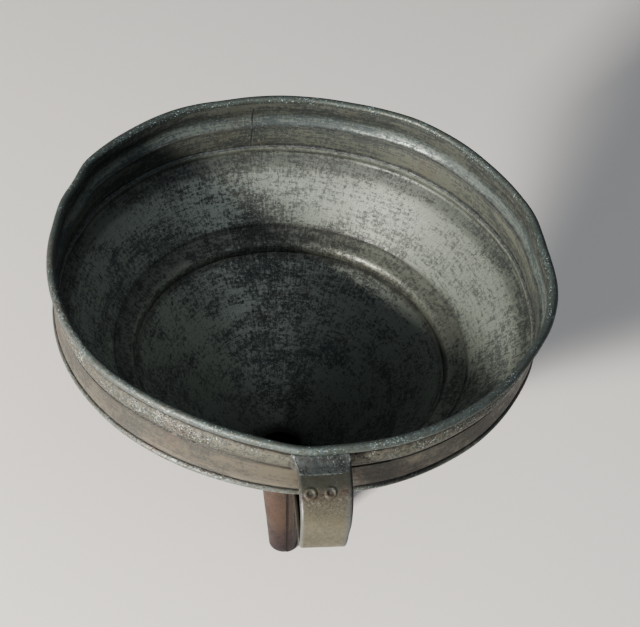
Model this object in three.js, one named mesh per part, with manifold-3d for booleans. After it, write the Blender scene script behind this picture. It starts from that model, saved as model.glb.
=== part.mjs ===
// A tinsmith's wide funnel in old tinned sheet steel.
// A short upright band carries a wired rim. Below it a 45 degree cone with a pressed bead
// runs down to a narrow tapered spout, and a bent strap makes the handle.
// Millimetres, +Z up. The origin is on the funnel's axis at its throat, where the cone
// meets the spout. The handle is on the -Y side.

import * as THREE from 'three';
import { mergeVertices } from 'three/addons/utils/BufferGeometryUtils.js';
import Module from 'manifold-3d';

const wasm = await Module();
wasm.setup();

// Sheet and general fit
const sheet = 0.5;            // thickness of the tinned sheet
const gap = 0.35;             // clearance kept between neighbouring pieces
const roundSteps = 60;        // facets round the wide pieces
const spoutSteps = 32;        // facets round the narrow pieces

// Rim: the sheet is rolled outwards over an iron wire
const rimHeight = 117.4;      // height of the wire's centre above the throat
const rimRadius = 102.6;      // radius of the ring that the wire makes
const wireRadius = 1.0;
const curlRadius = wireRadius + gap + sheet / 2;
const curlTurn = 295;         // degrees of the roll, which leaves a slit along its foot

// Band: collar pressed outwards under the rim, flat wall, bead at the foot
const neckRadius = rimRadius - curlRadius;
const collarTop = rimHeight - 4.6;
const collarFoot = rimHeight - 13.2;
const collarRise = 1.2;
const wallRadius = 100.55;
const wallFoot = rimHeight - 25.8;
const creaseDrop = 0.9;       // height of the creases beside the collar and the foot bead
const grooveRadius = 100.3;
const footBeadRadius = 101.05;
const footBeadDrop = 2.4;
const footTuck = 0.25;        // how far the band's foot turns back in
const bandFoot = rimHeight - 29.5;
const bandSeamTurn = 186;     // degrees round from the handle to the band's lap

// Cone: upright lip inside the band, 45 degree wall, pressed bead, neck into the spout
const lipRadius = 99.45;
const lipTop = rimHeight - 25.6;
const coneTopRadius = 99.2;
const coneTop = rimHeight - 29;
const throatRadius = 10;
const beadOuterRadius = 75.2;
const beadInnerRadius = 67;
const beadRise = 1.6;
const beadSkew = 1.7;         // above 1, the ridge stands nearer the bead's inner foot
const beadSteps = 8;
const coneJoin = 0.1;         // clearance between the upper and the lower part of the cone
const neckEndRadius = 9.4;
const neckEnd = -3.2;

// Spout: a tapered tube that leans a little towards +X
const spoutTop = -0.35;
const spoutTopRadius = 10.9;
const spoutLength = 72.6;
const spoutEndRadius = 6.9;
const spoutLean = 0.083;      // sideways shift for each millimetre down
const lapWidth = 3.6;         // width of the lap seam at the top of the spout
const lapTaper = 0.6;         // share of that width left at the spout's end
const lapDrop = 2.8;          // the solder round the throat covers the lap's first stretch
const lapSink = 0.05;         // how deep the lap sits in the tube, so that they are one solid
const spoutSeamTurn = 19;     // degrees round from the handle to the spout's seam solder

// Strap handle
const strapThickness = 0.8;
const strapWidth = 19.6;
const strapSteps = 5;         // facets in each bend
const strapNarrowing = 0.2;   // share of its width that the strap loses on the way down
const strapReach = 125;       // distance of its upright face from the axis
const strapTabRadius = 103.1;
const hemRadius = 1.15;
const hemSink = 0.35;         // how far the middle of the hem lies inside the strap's face
const hemInset = 0.6;         // the hem's middle lies this share of its radius inside the strap's edge
const hemSteps = 22;          // lengths that the hem is made of
const hemDivisions = 4;       // fineness of the hem's round section
const hemStart = 6;           // points of the strap's line above the hem
const hemEnd = 4;             // points of the strap's line below the hem
const footEndRadius = 84;     // where the strap's foot ends on the cone

// Solder
const solderThickness = 0.4;
const solderRise = sheet / 2 + gap + solderThickness / 2;

const tinPlate = { roughness: 0.45, metalness: 0.85 };
const solderColor = 0x868c8f;

// ---- helpers ----

const coneSlope = coneTop / (coneTopRadius - throatRadius);

// Height of the middle of the cone's sheet at a distance from the axis, without the bead
function coneHeight(radius) {
  return (radius - throatRadius) * coneSlope;
}

// Makes a closed outline of a given thickness round an open line of points
function thicken(line, thickness) {
  const left = [];
  const right = [];
  line.forEach((point, i) => {
    const before = line[Math.max(i - 1, 0)];
    const after = line[Math.min(i + 1, line.length - 1)];
    const along = after.clone().sub(before).normalize();
    const normal = new THREE.Vector2(-along.y, along.x).multiplyScalar(thickness / 2);
    left.push(point.clone().add(normal));
    right.push(point.clone().sub(normal));
  });
  return [...left, ...right.reverse()];
}

// Keeps only the positions, with shared corners joined
function bare(geometry) {
  geometry.deleteAttribute('normal');
  geometry.deleteAttribute('uv');
  return mergeVertices(geometry, 1e-4);
}

// Turns a closed outline of radius and height about the Z axis
function turned(outline, steps) {
  const area = THREE.ShapeUtils.area(outline);
  const points = area > 0 ? outline : [...outline].reverse();
  points.push(points[0].clone());
  const geometry = new THREE.LatheGeometry(points, steps);
  geometry.rotateX(Math.PI / 2);
  return bare(geometry);
}

// Extrudes an outline of radius and height across a width, centred on the -Y side
function across(outline, width) {
  const geometry = new THREE.ExtrudeGeometry(new THREE.Shape(outline), {
    depth: width,
    bevelEnabled: false,
    curveSegments: 1,
  });
  geometry.translate(0, 0, -width / 2);
  geometry.rotateX(Math.PI / 2);
  geometry.rotateZ(-Math.PI / 2);
  return bare(geometry);
}

// Moves the points below the throat sideways, so that they follow the leaning spout
function lean(geometry) {
  const position = geometry.getAttribute('position');
  for (let i = 0; i < position.count; i += 1) {
    const drop = Math.max(0, -position.getZ(i));
    position.setX(i, position.getX(i) + drop * spoutLean);
  }
  return geometry;
}

function toSolid(geometry) {
  return new wasm.Manifold(new wasm.Mesh({
    numProp: 3,
    vertProperties: new Float32Array(geometry.getAttribute('position').array),
    triVerts: new Uint32Array(geometry.index.array),
  }));
}

function fromSolid(solid) {
  const mesh = solid.getMesh();
  const geometry = new THREE.BufferGeometry();
  geometry.setAttribute('position', new THREE.BufferAttribute(mesh.vertProperties, 3));
  geometry.setIndex(new THREE.BufferAttribute(mesh.triVerts, 1));
  return geometry;
}

function part(name, geometry, color, finish = tinPlate) {
  const mesh = new THREE.Mesh(geometry, new THREE.MeshStandardMaterial({ color, ...finish }));
  mesh.name = name;
  geometry.computeVertexNormals();
  return mesh;
}

const at = (radius, height) => new THREE.Vector2(radius, height);

// ---- rim and band ----

function rimWire() {
  const section = new THREE.Path();
  section.absarc(rimRadius, rimHeight, wireRadius, 0, Math.PI * 2, false);
  const outline = section.getPoints(4).slice(0, -1);
  return part('rim_wire', turned(outline, roundSteps), 0x4a423c, { roughness: 0.7, metalness: 0.7 });
}

function bandLine() {
  const line = [];
  const curlSteps = 11;
  for (let i = 0; i <= curlSteps; i += 1) {
    const angle = THREE.MathUtils.degToRad(180 - curlTurn * (1 - i / curlSteps));
    line.push(at(rimRadius + curlRadius * Math.cos(angle), rimHeight + curlRadius * Math.sin(angle)));
  }
  const collarSteps = 6;
  for (let i = 0; i <= collarSteps; i += 1) {
    const share = i / collarSteps;
    const base = THREE.MathUtils.lerp(neckRadius, wallRadius, share);
    const height = THREE.MathUtils.lerp(collarTop, collarFoot, share);
    line.push(at(base + collarRise * Math.sin(Math.PI * share), height));
  }
  line.push(at(wallRadius, collarFoot - creaseDrop));
  line.push(at(wallRadius, wallFoot));
  line.push(at(grooveRadius, wallFoot - creaseDrop));
  line.push(at(footBeadRadius, wallFoot - footBeadDrop));
  line.push(at(footBeadRadius - footTuck, bandFoot));
  return line;
}

function band() {
  return part('band', turned(thicken(bandLine(), sheet), roundSteps), 0x8a8678);
}

// The band's ends lap at the back, with solder run down the inside of the lap
function bandSeamSolder() {
  const width = 3.2;
  const topDrop = 2.2;
  const footRise = 2.4;
  const neckFace = neckRadius - solderRise;
  const wallFace = wallRadius - solderRise;
  const line = [
    at(neckFace, rimHeight - topDrop),
    at(neckFace, collarTop),
    at(neckFace + collarRise * 0.75, (collarTop + collarFoot) / 2),
    at(wallFace, collarFoot),
    at(wallFace, wallFoot + footRise),
  ];
  const geometry = across(thicken(line, solderThickness), width);
  geometry.rotateZ(THREE.MathUtils.degToRad(bandSeamTurn));
  return part('band_seam_solder', geometry, solderColor);
}

// ---- cone ----

// Middle of the sheet over the bead, from its outer to its inner foot
function beadLine() {
  const slopeLength = Math.hypot(1, coneSlope);
  const line = [];
  for (let i = 0; i <= beadSteps; i += 1) {
    const share = i / beadSteps;
    const rise = beadRise * Math.sin(Math.PI * share ** beadSkew) ** 2;
    const radius = THREE.MathUtils.lerp(beadOuterRadius, beadInnerRadius, share);
    line.push(at(radius - rise * coneSlope / slopeLength, coneHeight(radius) + rise / slopeLength));
  }
  return line;
}

// The lip inside the band and the wall down to the bead
function upperCone() {
  const lipBend = 0.9;
  const line = [
    at(lipRadius, lipTop),
    at(lipRadius, coneTop + lipBend),
    at(coneTopRadius, coneTop),
    at(beadOuterRadius + coneJoin, coneHeight(beadOuterRadius + coneJoin)),
  ];
  return part('upper_cone', turned(thicken(line, sheet), roundSteps), 0x9aa096);
}

// The bead, the wall below it and the neck that goes into the spout
function lowerCone() {
  const line = [
    ...beadLine(),
    at(throatRadius, 0),
    at(neckEndRadius, neckEnd),
  ];
  return part('lower_cone', turned(thicken(line, sheet), roundSteps), 0x9aa096);
}

// Solder along the cone's own lap seam, on the inside towards the handle
function coneSeamSolder() {
  const width = 3;
  const endInset = 3;
  const top = coneTopRadius - endInset;
  const foot = throatRadius + endInset;
  const line = [at(top, coneHeight(top)), ...beadLine(), at(foot, coneHeight(foot))];
  line.forEach((point) => point.add(at(-solderRise * Math.SQRT1_2, solderRise * Math.SQRT1_2)));
  return part('cone_seam_solder', across(thicken(line, solderThickness), width), solderColor);
}

// Fillet inside, where the cone's lip ends on the band
function innerSeamSolder() {
  const filletHeight = 1.3;
  const overlap = 0.35;
  const wallFace = wallRadius - sheet / 2 - gap;
  const foot = lipTop + gap;
  const outline = [
    at(wallFace, foot),
    at(wallFace, foot + filletHeight),
    at(lipRadius - overlap, foot),
  ];
  return part('inner_seam_solder', turned(outline, roundSteps), solderColor);
}

// Fillet outside, in the corner under the band's foot
function outerSeamSolder() {
  const run = 2.3;
  const top = bandFoot - gap;
  const outline = [
    at(footBeadRadius, top),
    at(coneTopRadius, top),
    at(coneTopRadius - run, top - run),
    at(coneTopRadius - run * 0.13, top - run * 0.46),
  ];
  return part('outer_seam_solder', turned(outline, roundSteps), solderColor);
}

// ---- spout ----

function spout() {
  const line = [at(spoutTopRadius - sheet / 2, spoutTop), at(spoutEndRadius - sheet / 2, -spoutLength)];
  const wall = turned(thicken(line, sheet), spoutSteps);

  // The outer layer of the lap seam: a narrow strip that tapers with the tube
  const fall = spoutLength + spoutTop - lapDrop;
  const taper = (spoutTopRadius - spoutEndRadius) / (spoutLength + spoutTop);
  const endWidth = lapWidth * lapTaper;
  const strip = new THREE.Shape([
    at(-lapWidth / 2, 0),
    at(-endWidth / 2, -fall),
    at(endWidth / 2, -fall),
    at(lapWidth / 2, 0),
  ]);
  const lap = new THREE.ExtrudeGeometry(strip, { depth: sheet, bevelEnabled: false });
  lap.rotateX(Math.PI / 2 + Math.atan(taper));
  lap.translate(0, -spoutTopRadius + lapSink + lapDrop * taper, spoutTop - lapDrop);
  const solid = toSolid(wall).add(toSolid(bare(lap)));
  return part('spout', lean(bare(fromSolid(solid))), 0x7d7468);
}

// Solder beside the lap on the spout
function spoutSeamSolder() {
  const width = 1.2;
  const topDrop = 5;
  const endRise = 1;
  const clear = solderRise;
  const line = [
    at(spoutTopRadius - sheet / 2 + clear, spoutTop - topDrop),
    at(spoutEndRadius - sheet / 2 + clear + gap, -spoutLength + endRise),
  ];
  const geometry = across(thicken(line, solderThickness), width);
  geometry.rotateZ(THREE.MathUtils.degToRad(spoutSeamTurn));
  return part('spout_seam_solder', lean(geometry), solderColor);
}

// Fillet round the joint of spout and cone
function throatSolder() {
  const drop = 2.2;
  const bulge = 1.1;
  const reach = 3;
  const face = spoutTopRadius + gap;
  const under = (radius) => coneHeight(radius) - gap - sheet;
  const outline = [
    at(face, spoutTop - drop),
    at(face + bulge, spoutTop + 0.4),
    at(face + reach, under(face + reach)),
    at(face, under(face)),
  ];
  return part('throat_solder', turned(outline, spoutSteps), solderColor);
}

// ---- handle ----

// Rounds the corners of a line: each corner is [radius, height, rounding]
function rounded(corners, steps) {
  const line = [];
  corners.forEach(([radius, height, rounding], i) => {
    const corner = at(radius, height);
    if (!rounding) {
      line.push(corner);
      return;
    }
    const towards = (j) => at(corners[j][0], corners[j][1]).sub(corner).setLength(rounding);
    const bend = new THREE.QuadraticBezierCurve(
      corner.clone().add(towards(i - 1)),
      corner,
      corner.clone().add(towards(i + 1)),
    );
    line.push(...bend.getPoints(steps));
  });
  return line;
}

const footClear = sheet / 2 + gap + strapThickness / 2;
const footHeight = (radius) => coneHeight(radius) - footClear * Math.SQRT2;

// Side view of the strap: tab on the band, out under the rim, down, and back to the cone
function strapLine() {
  return rounded([
    [strapTabRadius, rimHeight - 11.2],
    [strapTabRadius, rimHeight - 4.4, 2],
    [strapReach - 8, rimHeight - 7.0, 4],
    [strapReach, rimHeight - 14, 5],
    [strapReach, rimHeight - 33.5, 6.5],
    [95.5, footHeight(93), 5],
    [footEndRadius, footHeight(footEndRadius)],
  ], strapSteps);
}

// Narrows the strap from its top to its foot
function narrow(geometry) {
  const top = rimHeight - 4;
  const fall = top - footHeight(footEndRadius);
  const position = geometry.getAttribute('position');
  for (let i = 0; i < position.count; i += 1) {
    const share = (top - position.getZ(i)) / fall;
    position.setX(i, position.getX(i) * (1 - strapNarrowing * share));
  }
  return geometry;
}

function handle() {
  const line = strapLine();
  let solid = toSolid(narrow(across(thicken(line, strapThickness), strapWidth)));

  // The long edges are rolled over towards the fingers
  const loop = line.slice(hemStart, -hemEnd);
  for (const side of [-1, 1]) {
    const edge = side * (strapWidth / 2 - hemRadius * hemInset);
    const route = loop.map((point) => new THREE.Vector3(edge, -point.x + hemSink, point.y));
    const hem = new THREE.ExtrudeGeometry(
      new THREE.Shape(new THREE.Path().absarc(0, 0, hemRadius, 0, Math.PI * 2).getPoints(hemDivisions)),
      { steps: hemSteps, bevelEnabled: false, extrudePath: new THREE.CatmullRomCurve3(route) },
    );
    solid = solid.add(toSolid(narrow(bare(hem))));
  }
  return part('handle', bare(fromSolid(solid)), 0x8c8c7c);
}

// Solder over the joint of strap and rim: a thin cap on the strap's tab and first bend
function handleTopSolder() {
  const hemClear = 2.3;
  const inner = rimRadius - 0.85;
  const outline = [
    at(inner, rimHeight - 2.4),
    at(rimRadius + 1.7, rimHeight - 2.2),
    at(rimRadius + 5, rimHeight - 4),
    at(rimRadius + 2.6, rimHeight - 3.6),
    at(rimRadius + 0.7, rimHeight - 3.75),
    at(inner, rimHeight - 4.4),
  ];
  return part('handle_top_solder', across(outline, strapWidth - hemClear * 2), solderColor);
}

// Solder over the end of the strap's foot on the cone
function handleFootSolder() {
  const length = 3.2;
  const endThickness = 0.25;
  const widthShare = 0.86;
  const gapShare = 1.2;
  const reach = sheet / 2 + gap;
  const along = at(-Math.SQRT1_2, -Math.SQRT1_2);
  const outward = at(Math.SQRT1_2, -Math.SQRT1_2);
  const start = at(footEndRadius, footHeight(footEndRadius))
    .addScaledVector(outward, -footClear)
    .addScaledVector(along, gap * gapShare);
  const end = start.clone().addScaledVector(along, length);
  const outline = [
    start.clone().addScaledVector(outward, reach),
    start.clone().addScaledVector(outward, reach + strapThickness),
    end.clone().addScaledVector(outward, reach + endThickness),
    end.clone().addScaledVector(outward, reach),
  ];
  return part('handle_foot_solder', across(outline, strapWidth * widthShare), solderColor);
}

const funnel = new THREE.Group();
funnel.name = 'wide_funnel';
funnel.add(
  rimWire(),
  band(),
  bandSeamSolder(),
  upperCone(),
  lowerCone(),
  coneSeamSolder(),
  innerSeamSolder(),
  outerSeamSolder(),
  spout(),
  spoutSeamSolder(),
  throatSolder(),
  handle(),
  handleTopSolder(),
  handleFootSolder(),
);

export default funnel;
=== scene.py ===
import math
import bpy
import numpy as np
from mathutils import Euler, Matrix, Vector


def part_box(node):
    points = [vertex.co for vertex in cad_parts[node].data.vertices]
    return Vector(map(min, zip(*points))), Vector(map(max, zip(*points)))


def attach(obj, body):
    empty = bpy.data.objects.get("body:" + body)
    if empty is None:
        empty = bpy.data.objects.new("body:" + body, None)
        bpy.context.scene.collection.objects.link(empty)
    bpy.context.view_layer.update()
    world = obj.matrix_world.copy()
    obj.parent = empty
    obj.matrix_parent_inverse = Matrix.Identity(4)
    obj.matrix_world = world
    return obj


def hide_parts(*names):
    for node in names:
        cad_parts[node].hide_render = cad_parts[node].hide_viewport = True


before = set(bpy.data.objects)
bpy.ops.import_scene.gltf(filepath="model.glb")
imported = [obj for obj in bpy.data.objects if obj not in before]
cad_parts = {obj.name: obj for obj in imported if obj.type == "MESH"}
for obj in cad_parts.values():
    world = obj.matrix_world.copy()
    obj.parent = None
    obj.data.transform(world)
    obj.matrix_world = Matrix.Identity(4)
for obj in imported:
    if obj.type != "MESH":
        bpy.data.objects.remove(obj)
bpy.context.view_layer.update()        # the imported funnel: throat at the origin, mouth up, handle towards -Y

mm = 0.001
print("frame loaded:", len(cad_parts), "pieces")


# Places taken from the frame

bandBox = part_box("band")
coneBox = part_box("upper_cone")
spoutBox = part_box("spout")
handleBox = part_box("handle")

sheet = 0.5 * mm                                    # thickness of the tinned sheet
rollRadius = 1.6 * mm                               # middle of the rolled sheet round the wire
rimZ = bandBox[1][2] - rollRadius - sheet / 2
rimR = bandBox[1][0] - rollRadius - sheet / 2
bandFootZ = bandBox[0][2]
coneTopR = coneBox[1][0] - sheet
throatR = 10 * mm
coneTopZ = rimZ - 29 * mm
coneSlope = coneTopZ / (coneTopR - throatR)
spoutEndR = 6.9 * mm
spoutEndZ = spoutBox[0][2]
spoutLean = (spoutBox[1][0] - spoutEndR) / -spoutEndZ


def coneZ(radius):
    return (radius - throatR) * coneSlope


# Mesh tools

def deselect():
    if bpy.context.mode != "OBJECT":
        bpy.ops.object.mode_set(mode="OBJECT")
    bpy.ops.object.select_all(action="DESELECT")


def pick(obj):
    deselect()
    obj.select_set(True)
    bpy.context.view_layer.objects.active = obj


def drawLine(name, points):                         # one vertex, extruded from point to point
    deselect()
    bpy.ops.mesh.primitive_plane_add(size=mm, location=(0, 0, 0))
    obj = bpy.context.object
    obj.name = name
    bpy.ops.object.mode_set(mode="EDIT")
    bpy.ops.mesh.select_all(action="SELECT")
    bpy.ops.mesh.merge(type="CENTER")
    bpy.ops.transform.translate(value=points[0])
    for last, point in zip(points, points[1:]):
        step = tuple(b - a for a, b in zip(last, point))
        bpy.ops.mesh.extrude_vertices_move(TRANSFORM_OT_translate={"value": step})
    bpy.ops.object.mode_set(mode="OBJECT")
    return obj


def sideLine(outline):                              # radius and height, drawn in the plane of X and Z
    return [(radius, 0, height) for radius, height in outline]


def tidyMesh(obj, closeTo=0.01 * mm):
    pick(obj)
    bpy.ops.object.mode_set(mode="EDIT")
    bpy.ops.mesh.select_all(action="SELECT")
    bpy.ops.mesh.remove_doubles(threshold=closeTo)
    bpy.ops.mesh.normals_make_consistent(inside=False)
    bpy.ops.object.mode_set(mode="OBJECT")


def spinRound(obj, steps, degrees=360):
    pick(obj)
    bpy.ops.object.mode_set(mode="EDIT")
    bpy.ops.mesh.select_all(action="SELECT")
    bpy.ops.mesh.spin(steps=steps, angle=math.radians(degrees), center=(0, 0, 0), axis=(0, 0, 1))
    bpy.ops.object.mode_set(mode="OBJECT")
    tidyMesh(obj)


def applyModifier(obj, kind, **settings):
    pick(obj)
    modifier = obj.modifiers.new(kind.title(), kind)
    for key, value in settings.items():
        setattr(modifier, key, value)
    bpy.ops.object.modifier_apply(modifier=modifier.name)


def thicken(obj, thickness=sheet):
    applyModifier(obj, "SOLIDIFY", thickness=thickness, offset=0, use_even_offset=True)


def ripple(obj, size, height, turn=0):              # gentle unevenness of hand-worked sheet or solder
    texture = bpy.data.textures.new(obj.name + "Ripple", "CLOUDS")
    texture.noise_scale = size
    texture.noise_depth = turn
    applyModifier(obj, "DISPLACE", texture=texture, texture_coords="LOCAL", strength=height, mid_level=0.5)
    bpy.data.textures.remove(texture)


def smoothShade(obj, degrees=35):
    pick(obj)
    bpy.ops.object.shade_smooth_by_angle(angle=math.radians(degrees))


def joined(target, *others):
    deselect()
    for other in others:
        other.select_set(True)
    target.select_set(True)
    bpy.context.view_layer.objects.active = target
    bpy.ops.object.join()


def turnAbout(obj, degrees):                        # turns a piece about the funnel's axis, in its mesh
    obj.data.transform(Matrix.Rotation(math.radians(degrees), 4, "Z"))


def movePoints(obj, rule):                          # rule gets and gives an array of points
    mesh = obj.data
    flat = np.empty(len(mesh.vertices) * 3)
    mesh.vertices.foreach_get("co", flat)
    points = rule(flat.reshape(-1, 3))
    mesh.vertices.foreach_set("co", points.ravel())
    mesh.update()


# The mouth is no longer quite round: (degrees round from +X, millimetres out of true)
handMade = {
    "push": [
        (-177, -1.6), (-165, -1.0), (-150, -0.5), (-141, -0.6), (-135, -1.3), (-129, -1.8), (-120, -1.95),
        (-114, -1.5), (-108, -0.7), (-102, 0.3), (-97, 1.8), (-93, 2.7), (-89, 1.9), (-84, 1.6), (-72, 1.8),
        (-60, 1.5), (-48, 1.4), (-36, 1.0), (-30, 1.2), (-24, 2.0), (-15, 2.1), (-9, 1.5), (-3, 0.4),
        (1, -0.2), (6, 0.0), (12, 0.9), (15, 1.0), (21, 0.65), (33, 0.5), (42, 1.2), (51, 1.6), (56, 1.6),
        (63, 0.5), (72, -0.9), (90, -1.05), (105, -1.3), (110, -0.3), (117, 0.35), (132, -0.1), (141, 0.3),
        (147, 0.6), (150, -0.6), (154, -1.7), (161, -1.4), (170, -2.2),
    ],
    "seamShare": 0.3,                               # how much of it is left at the band's foot
    "soften": 1.4,
}
roundPlaces = np.arange(-180, 180, 0.5)
roundPush = np.interp(roundPlaces, *zip(*handMade["push"]), period=360)
softShape = np.exp(-0.5 * (np.arange(-12, 13) * 0.5 / handMade["soften"]) ** 2)
roundPush = np.convolve(np.concatenate([roundPush[-12:], roundPush, roundPush[:12]]),
                        softShape / softShape.sum(), "valid")


def outOfRound(points):
    angle = np.arctan2(points[:, 1], points[:, 0])
    push = np.interp(np.degrees(angle), roundPlaces, roundPush, period=360)
    depth = np.clip((rimZ - points[:, 2]) / (rimZ - bandFootZ), 0, 1)
    fade = 1 - (1 - handMade["seamShare"]) * depth ** 1.2
    lowFade = np.clip(points[:, 2] / bandFootZ, 0, 1) ** 2
    push = push * fade * lowFade * mm
    moved = points.copy()
    moved[:, 0] += push * np.cos(angle)
    moved[:, 1] += push * np.sin(angle)
    return moved


def leaning(points):                                # the spout leans a little towards +X
    moved = points.copy()
    moved[:, 0] += np.maximum(0, -points[:, 2]) * spoutLean
    return moved


def finish(obj, nodes, material):
    obj.data.materials.clear()
    obj.data.materials.append(material)
    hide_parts(*nodes.split())
    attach(obj, "root")


# Shader tools

def put(tree, kind, wires=None, **settings):
    piece = tree.nodes.new("ShaderNode" + kind)
    for key, value in settings.items():
        setattr(piece, key, value)
    for socket, value in (wires or {}).items():
        if isinstance(value, bpy.types.NodeSocket):
            tree.links.new(value, piece.inputs[socket])
        else:
            piece.inputs[socket].default_value = value
    return piece


def calc(tree, operation, first, second=0.0):
    return put(tree, "Math", {0: first, 1: second}, operation=operation).outputs[0]


def spread(tree, value, low, high, toLow=0.0, toHigh=1.0):
    return put(tree, "MapRange", {0: value, 1: low, 2: high, 3: toLow, 4: toHigh}).outputs[0]


def mixColor(tree, factor, first, second):
    return put(tree, "Mix", {0: factor, 6: first, 7: second}, data_type="RGBA").outputs[2]


def grain(tree, vector, scale, detail=3.0, rough=0.5, swirl=0.0):
    wires = {"Vector": vector, "Scale": scale, "Detail": detail, "Roughness": rough, "Distortion": swirl}
    return put(tree, "TexNoise", wires).outputs[0]


def newGroup(name, inputs, outputs):
    tree = bpy.data.node_groups.new(name, "ShaderNodeTree")
    for label, kind in inputs.items():
        tree.interface.new_socket(name=label, in_out="INPUT", socket_type="NodeSocket" + kind)
    for label, kind in outputs.items():
        tree.interface.new_socket(name=label, in_out="OUTPUT", socket_type="NodeSocket" + kind)
    return tree, tree.nodes.new("NodeGroupInput"), tree.nodes.new("NodeGroupOutput")


def stretchedRound(tree, vector, along, across):    # long round the axis, short along it
    parts = put(tree, "SeparateXYZ", {0: vector})
    flat = put(tree, "CombineXYZ", {0: parts.outputs[0], 1: parts.outputs[1], 2: 0.0})
    unit = put(tree, "VectorMath", {0: flat.outputs[0]}, operation="NORMALIZE")
    ring = put(tree, "VectorMath", {0: unit.outputs[0], 1: (along, along, along)}, operation="MULTIPLY")
    height = calc(tree, "MULTIPLY", parts.outputs[2], across)
    lift = put(tree, "CombineXYZ", {0: 0.0, 1: 0.0, 2: height})
    return put(tree, "VectorMath", {0: ring.outputs[0], 1: lift.outputs[0]}, operation="ADD").outputs[0]


def makeAgedTin():
    tree, given, result = newGroup(
        "agedTin",
        {"Vector": "Vector", "Pale": "Color", "Dull": "Color", "Dark": "Color", "Stain": "Color",
         "Bright": "Color", "Cover": "Float", "Patches": "Float", "Streaks": "Float", "Drips": "Float",
         "Grain": "Float", "Pitting": "Float", "Staining": "Float", "Wear": "Float"},
        {"Color": "Color", "Roughness": "Float", "Metallic": "Float", "Height": "Float"},
    )
    here = given.outputs["Vector"]

    def swing(value, amount):                       # a pattern's swing about its middle, resized
        return calc(tree, "MULTIPLY", calc(tree, "SUBTRACT", value, 0.5), amount)

    def weighed(value, amount, label):
        return calc(tree, "MULTIPLY", swing(value, amount), given.outputs[label])

    cloud = grain(tree, here, 22, 4, 0.6)
    patch = grain(tree, here, 75, 8, 0.7, 0.3)
    crumb = grain(tree, here, 620, 4, 0.7)
    dust = grain(tree, here, 1400, 2, 0.6)
    broadStreak = grain(tree, stretchedRound(tree, here, 2.4, 240), 1, 4, 0.6)
    midStreak = grain(tree, stretchedRound(tree, here, 7, 900), 1, 4, 0.65)
    fineStreak = grain(tree, stretchedRound(tree, here, 24, 2300), 1, 3, 0.6)
    drip = grain(tree, stretchedRound(tree, here, 100, 190), 1, 4, 0.65)

    # slow change between pale tin and dull oxide
    tone = calc(tree, "ADD", 0.5, weighed(cloud, 0.6, "Patches"))
    tone = calc(tree, "ADD", tone, weighed(patch, 0.75, "Patches"))
    tone = calc(tree, "ADD", tone, weighed(broadStreak, 0.7, "Streaks"))
    tone = calc(tree, "ADD", tone, weighed(midStreak, 0.75, "Streaks"))
    tone = calc(tree, "ADD", tone, weighed(fineStreak, 0.55, "Streaks"))
    tone = calc(tree, "ADD", tone, weighed(drip, 0.7, "Drips"))
    tone = calc(tree, "ADD", tone, weighed(crumb, 0.6, "Grain"))
    tone = calc(tree, "ADD", tone, weighed(dust, 0.35, "Grain"))
    tone = calc(tree, "ADD", tone, given.outputs["Cover"])
    toneMask = spread(tree, tone, 0.40, 0.60)

    # dark pits gather where the patches are dull
    pitField = calc(tree, "ADD", grain(tree, here, 1150, 3, 0.65), swing(patch, 0.35))
    pitField = calc(tree, "ADD", pitField, swing(toneMask, 0.05))
    pitMask = calc(tree, "MULTIPLY", spread(tree, pitField, 0.56, 0.65), given.outputs["Pitting"])

    # brown stains, soft and few
    stainField = calc(tree, "ADD", grain(tree, here, 19, 6, 0.72, 0.6), swing(crumb, 0.25))
    stainMask = calc(tree, "MULTIPLY", spread(tree, stainField, 0.54, 0.70), given.outputs["Staining"])

    # bright metal on worn edges, in fine scratches and in flecks
    edge = spread(tree, put(tree, "NewGeometry").outputs["Pointiness"], 0.51, 0.56)
    edge = calc(tree, "MULTIPLY", edge, spread(tree, crumb, 0.42, 0.56))
    scratch = calc(tree, "ABSOLUTE", calc(tree, "SUBTRACT", grain(tree, here, 70, 2, 0.4, 2.4), 0.5))
    scratch = calc(tree, "MULTIPLY", spread(tree, scratch, 0.005, 0.0), spread(tree, cloud, 0.52, 0.6))
    fleck = calc(tree, "MULTIPLY", spread(tree, dust, 0.59, 0.66), spread(tree, patch, 0.42, 0.56))
    rub = calc(tree, "MAXIMUM", calc(tree, "MAXIMUM", edge, scratch), fleck)
    wearMask = calc(tree, "MULTIPLY", rub, given.outputs["Wear"])

    # painted shade and dirt in the creases, joined with the dark pits
    crease = spread(tree, put(tree, "NewGeometry").outputs["Pointiness"], 0.485, 0.445)
    pitsAndCreaseShade = calc(tree, "MAXIMUM", pitMask, calc(tree, "MULTIPLY", crease, 0.85))

    color = mixColor(tree, toneMask, given.outputs["Pale"], given.outputs["Dull"])
    color = mixColor(tree, stainMask, color, given.outputs["Stain"])
    color = mixColor(tree, pitsAndCreaseShade, color, given.outputs["Dark"])
    color = mixColor(tree, wearMask, color, given.outputs["Bright"])
    tree.links.new(color, result.inputs["Color"])

    rough = spread(tree, toneMask, 0, 1, 0.40, 0.56)
    rough = calc(tree, "ADD", rough, calc(tree, "MULTIPLY", pitMask, 0.18))
    rough = calc(tree, "SUBTRACT", rough, calc(tree, "MULTIPLY", wearMask, 0.14))
    tree.links.new(rough, result.inputs["Roughness"])

    metal = spread(tree, toneMask, 0, 1, 0.5, 0.28)
    metal = calc(tree, "SUBTRACT", metal, calc(tree, "MULTIPLY", pitMask, 0.3))
    metal = calc(tree, "SUBTRACT", metal, calc(tree, "MULTIPLY", stainMask, 0.3))
    metal = calc(tree, "MAXIMUM", metal, 0.0)
    tree.links.new(metal, result.inputs["Metallic"])

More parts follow.
